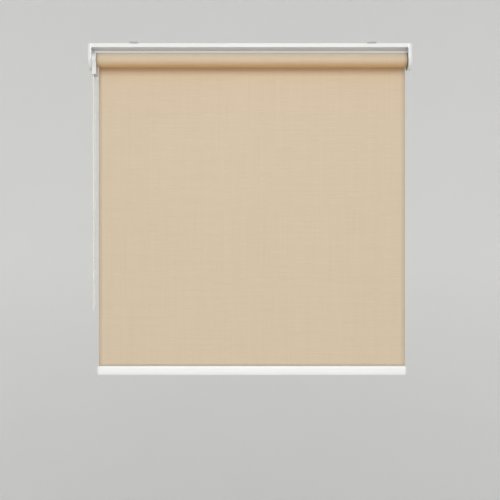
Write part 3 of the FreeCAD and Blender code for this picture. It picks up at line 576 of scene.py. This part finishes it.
def woven_cloth(name, colour):
    """A plain weave of slubby yarns: warp along z, weft along x, with some light let through.

    Near the roll, where the cloth's layers hide each other or face down, its colour carries painted shade: a
    warmer, darker tint in place of light bounced between the layers.
    """
    finish = Finish(name, roughness=0.78)
    split = finish.add("SeparateXYZ", {"Vector": finish.place})
    wound = finish.add("Attribute", {}, attribute_name="wind").outputs["Fac"]
    along = finish.sum("ADD", split.outputs["Z"], wound)
    flat = finish.add("CombineXYZ", {"X": split.outputs["X"], "Y": 0.0, "Z": along}).outputs[0]

    def yarns(position, pitch, wander):
        drift = finish.sum("MULTIPLY_ADD", finish.noise(wander, 1.0, flat), 2.2, -1.1)
        return finish.sum("SINE", finish.sum("MULTIPLY_ADD", position, 2 * math.pi / pitch, drift))

    weft = yarns(along, WEFT, (14.0, 1.0, 90.0))
    warp = yarns(split.outputs["X"], WARP, (90.0, 1.0, 14.0))
    crossing = finish.ramp(finish.sum("MULTIPLY", weft, warp), -1.0, 1.0)
    ridges = finish.ramp(finish.sum("ADD", weft, finish.sum("MULTIPLY", warp, 0.6)), -1.6, 1.6)
    weave = finish.sum("ADD", finish.sum("MULTIPLY", crossing, 0.55), finish.sum("MULTIPLY", ridges, 0.45))

    weft_tone = finish.noise((3.0, 1.0, 0.9 / WEFT), 1.0, flat)
    warp_tone = finish.noise((0.9 / WARP, 1.0, 3.0), 1.0, flat)
    tone = finish.sum("ADD", finish.sum("MULTIPLY", weft_tone, 0.6), finish.sum("MULTIPLY", warp_tone, 0.4))
    thick_weft = finish.ramp(finish.noise((22.0, 1.0, 1150.0), 0.0, flat), 0.68, 0.82)
    thin_weft = finish.ramp(finish.noise((18.0, 1.0, 900.0), 0.0, flat), 0.32, 0.2)
    thick_warp = finish.ramp(finish.noise((1300.0, 1.0, 60.0), 0.0, flat), 0.72, 0.85)
    mottle = finish.ramp(finish.noise((9.0, 1.0, 5.0), 2.0, flat), 0.35, 0.65)

    base = finish.mix(finish.ramp(tone, 0.32, 0.68), shaded(colour, 0.94), shaded(colour, 1.05))
    base = finish.mix(finish.ramp(weave, 0.0, 1.0, 0.2, 1.0), shaded(colour, 0.86), base)
    base = finish.mix(finish.sum("MULTIPLY", thick_weft, 0.55), base, shaded(colour, 1.16))
    base = finish.mix(finish.sum("MULTIPLY", thick_warp, 0.3), base, shaded(colour, 1.12))
    base = finish.mix(finish.sum("MULTIPLY", thin_weft, 0.5), base, shaded(colour, 0.8))
    base = finish.mix(finish.sum("MULTIPLY", mottle, 0.05), base, shaded(colour, 1.08))
    weft_bars = finish.noise((5.0, 1.0, 170.0), 1.0, flat)
    warp_bars = finish.noise((170.0, 1.0, 5.0), 1.0, flat)
    bars = finish.ramp(finish.sum("ADD", weft_bars, warp_bars), 0.7, 1.3, 0.975, 1.0)
    base = finish.mix(1.0, base, bars, "MULTIPLY")
    # Painted shade: where the cloth is hidden by its own layers or faces down, near the roll, its colour is
    # multiplied by a warm, darker tint.
    painted_shade_occlusion = finish.add("AmbientOcclusion", {"Distance": PAINTED_SHADE_REACH}, samples=8, only_local=True).outputs["AO"]
    facing = finish.add("NewGeometry", {}).outputs["Normal"]
    upward = finish.add("SeparateXYZ", {"Vector": facing}).outputs["Z"]
    painted_shade_free = finish.sum("MINIMUM", finish.ramp(painted_shade_occlusion, 0.3, 0.93), finish.ramp(upward, -0.9, -0.1))
    well_below = finish.ramp(split.outputs["Z"], PAINTED_SHADE_HIGH, PAINTED_SHADE_LOW)
    painted_shade_free = finish.sum("MAXIMUM", painted_shade_free, well_below)
    painted_shade_colour = finish.mix(1.0, base, PAINTED_SHADE_TINT, "MULTIPLY")
    base = finish.mix(painted_shade_free, painted_shade_colour, base)
    finish.join(base, "Base Color")
    finish.shader.inputs["Sheen Weight"].default_value = 0.12
    finish.shader.inputs["Sheen Roughness"].default_value = 0.5
    normal = finish.bump((weave, 0.00012), (thick_weft, 0.00012))

    through = finish.add("BsdfTranslucent", {"Color": base, "Normal": normal}).outputs[0]
    both = finish.add("MixShader", {0: 0.22, 1: finish.shader.outputs[0], 2: through}).outputs[0]
    finish.tree.links.new(both, finish.output.inputs["Surface"])
    return finish.material


COVER = (0.72, 0.715, 0.695)
FINISHES = {
    "rail_white": powder_coat("rail_white", (0.765, 0.765, 0.76)),
    "bar_white": powder_coat("bar_white", (0.87, 0.87, 0.865), 0.33),
    "cover_white": moulding("cover_white", COVER, 0.4, 0.05),
    "guard_white": moulding("guard_white", COVER, 0.4, 0.05),
    "cap_white": moulding("cap_white", (0.74, 0.735, 0.71), 0.38, 0.05),
    "bead_white": moulding("bead_white", (0.86, 0.85, 0.82), 0.25, 0.1),
    "latch_grey": moulding("latch_grey", (0.45, 0.45, 0.45), 0.45),
    "nylon_white": moulding("nylon_white", (0.8, 0.79, 0.75), 0.36, 0.2),
    "core_grey": filled_nylon("core_grey", (0.3, 0.31, 0.33)),
    "zinc_steel": zinc_plate("zinc_steel", (0.62, 0.63, 0.65)),
    "bracket_steel": zinc_plate("bracket_steel", (0.66, 0.67, 0.69)),
    "spring_steel": spring_wire("spring_steel", (0.42, 0.43, 0.46)),
    "tube_aluminium": mill_aluminium("tube_aluminium", (0.74, 0.75, 0.77)),
    "chain_string": braided_string("chain_string", (0.7, 0.69, 0.66)),
    "cloth": woven_cloth("cloth", (0.825, 0.693, 0.515)),
}


def dress_frame():
    """Gives each CAD node the finish of its own material slot."""
    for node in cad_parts.values():
        for place in node.material_slots:
            name = place.material.name.split(".")[0]
            place.material = FINISHES[name]


def dress(piece, name):
    """Gives a new piece its finish."""
    piece.data.materials.append(FINISHES[name])


# ---------------------------------------------------------------- floor, walls and light
STUDIO_FLOOR = -2.2
STUDIO_RADIUS = 4.8
STUDIO_TOP = 2.8
COVE = 1.5
COVE_STEPS = 24
STUDIO_SIDES = 96
STUDIO_GLOW = (1.0, 0.995, 0.98, 1.0)


def add_studio():
    """A plain pale floor that curves up into a round wall, open above. Floor and wall glow as painted light,
    more strongly higher up and behind the blind, to light it from all round.
    """
    profile = [(0.0, STUDIO_FLOOR), (1.2, STUDIO_FLOOR), (2.4, STUDIO_FLOOR)]
    for i in range(COVE_STEPS + 1):
        turn = math.pi / 2 * i / COVE_STEPS
        out = STUDIO_RADIUS - COVE + COVE * math.sin(turn)
        profile.append((out, STUDIO_FLOOR + COVE - COVE * math.cos(turn)))
    profile += [(STUDIO_RADIUS, 0.8), (STUDIO_RADIUS, STUDIO_TOP)]
    sides = STUDIO_SIDES
    points = [(0.0, 0.0, STUDIO_FLOOR)]
    for out, z in profile[1:]:
        for j in range(sides):
            turn = 2 * math.pi * j / sides
            points.append((out * math.cos(turn), out * math.sin(turn), z))
    faces = [(0, 1 + j, 1 + (j + 1) % sides) for j in range(sides)]
    for i in range(len(profile) - 2):
        for j in range(sides):
            a, b = 1 + i * sides + j, 1 + i * sides + (j + 1) % sides
            faces.append((a, a + sides, b + sides, b))
    studio = add_mesh("studio_floor", points, faces)

    finish = Finish("studio", roughness=0.9)
    pale = finish.mix(finish.noise(1.5, 2.0), (0.86, 0.86, 0.85), (0.88, 0.88, 0.87))
    finish.join(pale, "Base Color")
    split = finish.add("SeparateXYZ", {"Vector": finish.place})
    # Painted light: the floor and wall glow, more strongly higher up the wall and behind the blind.
    height = finish.ramp(split.outputs["Z"], STUDIO_FLOOR, -0.6, 0.1, 1.0)
    behind = finish.ramp(split.outputs["Y"], -1.0, 2.0, 0.03, 0.1)
    finish.join(finish.sum("MULTIPLY", height, behind), "Emission Strength")
    finish.shader.inputs["Emission Color"].default_value = STUDIO_GLOW
    studio.data.materials.append(finish.material)


# Each light: name, place, what it points at, width, height and power in watts.
BLIND_MIDDLE = (0.0, 0.0, -0.4)
LIGHTS = [
    ("key", (0.0, -2.6, 1.15), BLIND_MIDDLE, 2.4, 1.5, 44.0),
    ("fill", (0.0, -2.4, -1.5), (0.0, 0.0, -0.2), 2.4, 0.8, 15.0),
    ("window", (0.0, 2.3, 1.9), BLIND_MIDDLE, 2.6, 0.9, 24.0),
]
ROOM_COLOUR = (1.0, 1.0, 1.0, 1.0)
ROOM_STRENGTH = 0.4


def add_light(name, place, target, width, height, power):
    """A soft rectangular light that the camera doesn't see."""
    lamp = bpy.data.lights.new(name, "AREA")
    lamp.shape = "RECTANGLE"
    lamp.size = width
    lamp.size_y = height
    lamp.energy = power
    light = add_object(name, lamp)
    light.location = place
    light.rotation_euler = (Vector(target) - Vector(place)).to_track_quat("-Z", "Y").to_euler()
    light.visible_camera = False


def add_lights():
    """A large soft key from the front and above, a fill from below, and a high light behind."""
    for light in LIGHTS:
        add_light(*light)
    world = bpy.data.worlds.new("room")
    world.use_nodes = True
    world.node_tree.nodes["Background"].inputs["Color"].default_value = ROOM_COLOUR
    world.node_tree.nodes["Background"].inputs["Strength"].default_value = ROOM_STRENGTH
    bpy.context.scene.world = world
    bpy.context.scene.view_settings.view_transform = "Standard"


add_camera()
cord, balls = add_chain()
springs = [add_idle_spring(), add_clip_springs("left"), add_clip_springs("right")]
drop, roll = add_cloth()
dress_frame()
dress(cord, "chain_string")
dress(balls, "bead_white")
dress(drop, "cloth")
dress(roll, "cloth")
for spring in springs:
    dress(spring, "spring_steel")
add_studio()
add_lights()
